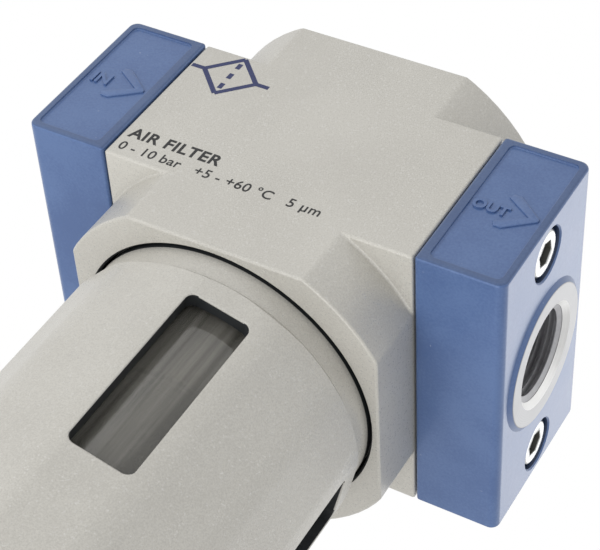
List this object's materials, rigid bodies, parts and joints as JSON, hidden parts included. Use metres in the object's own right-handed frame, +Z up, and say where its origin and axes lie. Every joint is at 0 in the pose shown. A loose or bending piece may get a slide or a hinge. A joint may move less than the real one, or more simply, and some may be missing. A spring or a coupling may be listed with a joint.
{
  "type": "compressed air filter",
  "caption": "Modular compressed air filter: square housing with bolted port end plates, clear bowl in a faceted metal guard with sight windows, and a manual drain knob.",
  "frame": {"origin": "centre of the housing's flat back face, level with the axis of the two ports", "axes": "+Y out of the flat back face towards the wall, +Z up along the bowl's axis, +X along the air flow from inlet to outlet"},
  "size_m": [0.0864, 0.0553, 0.1465],
  "materials": {
    "silver_lacquer": "fine sparkling silver-grey lacquer on a die casting",
    "blue_lacquer": "satin blue lacquer on a die casting, bare machined ring at the port",
    "zinc_plate": "bright zinc plating",
    "black_rubber": "smooth nitrile rubber",
    "clear_polycarbonate": "clear glossy polycarbonate",
    "sintered_plastic": "porous sintered polyethylene",
    "natural_plastic": "natural acetal",
    "black_plastic": "moulded black acetal"
  },
  "bodies": {
    "filter_head": {"housing": "silver_lacquer", "inlet_plate": "blue_lacquer", "outlet_plate": "blue_lacquer", "inlet_plate_screw_front": "zinc_plate", "inlet_plate_screw_back": "zinc_plate", "outlet_plate_screw_front": "zinc_plate", "outlet_plate_screw_back": "zinc_plate", "inlet_plate_seal": "black_rubber", "outlet_plate_seal": "black_rubber", "swirl_vane": "black_plastic", "element_stud": "zinc_plate", "filter_element": "sintered_plastic", "element_top_gasket": "black_rubber", "element_bottom_gasket": "black_rubber", "baffle_disc": "black_plastic", "retainer_nut": "zinc_plate"},
    "bowl_unit": {"bowl": "clear_polycarbonate", "bowl_seal": "black_rubber", "slip_ring": "natural_plastic", "drain_body": "black_plastic", "drain_body_seal": "black_rubber", "drain_nut": "black_plastic"},
    "bowl_guard": {"bowl_guard": "silver_lacquer"},
    "drain_valve": {"drain_stem": "zinc_plate", "drain_stem_seal": "black_rubber"},
    "drain_knob": {"drain_knob": "black_plastic"}
  },
  "joints": [
    {"name": "bowl_drop", "type": "slide", "parent": "filter_head", "child": "bowl_unit", "axis": [0, 0, -1], "range_m": [0, 0.0075]},
    {"name": "guard_turn", "type": "hinge", "parent": "bowl_unit", "child": "bowl_guard", "pos_m": [0, -0.0275, -0.06], "axis": [0, 0, -1], "range_deg": [0, 900]},
    {"name": "drain_turn", "type": "hinge", "parent": "bowl_unit", "child": "drain_knob", "pos_m": [0, -0.0275, -0.112], "axis": [0, 0, -1], "range_deg": [0, 360]},
    {"name": "drain_lift", "type": "slide", "parent": "bowl_unit", "child": "drain_valve", "axis": [0, 0, 1], "range_m": [0, 0.002]}
  ],
  "couplings": [
    {"joint": "bowl_drop", "follows": "guard_turn", "m_per_rad": 0.00047746},
    {"joint": "drain_lift", "follows": "drain_turn", "m_per_rad": 0.00031831}
  ]
}
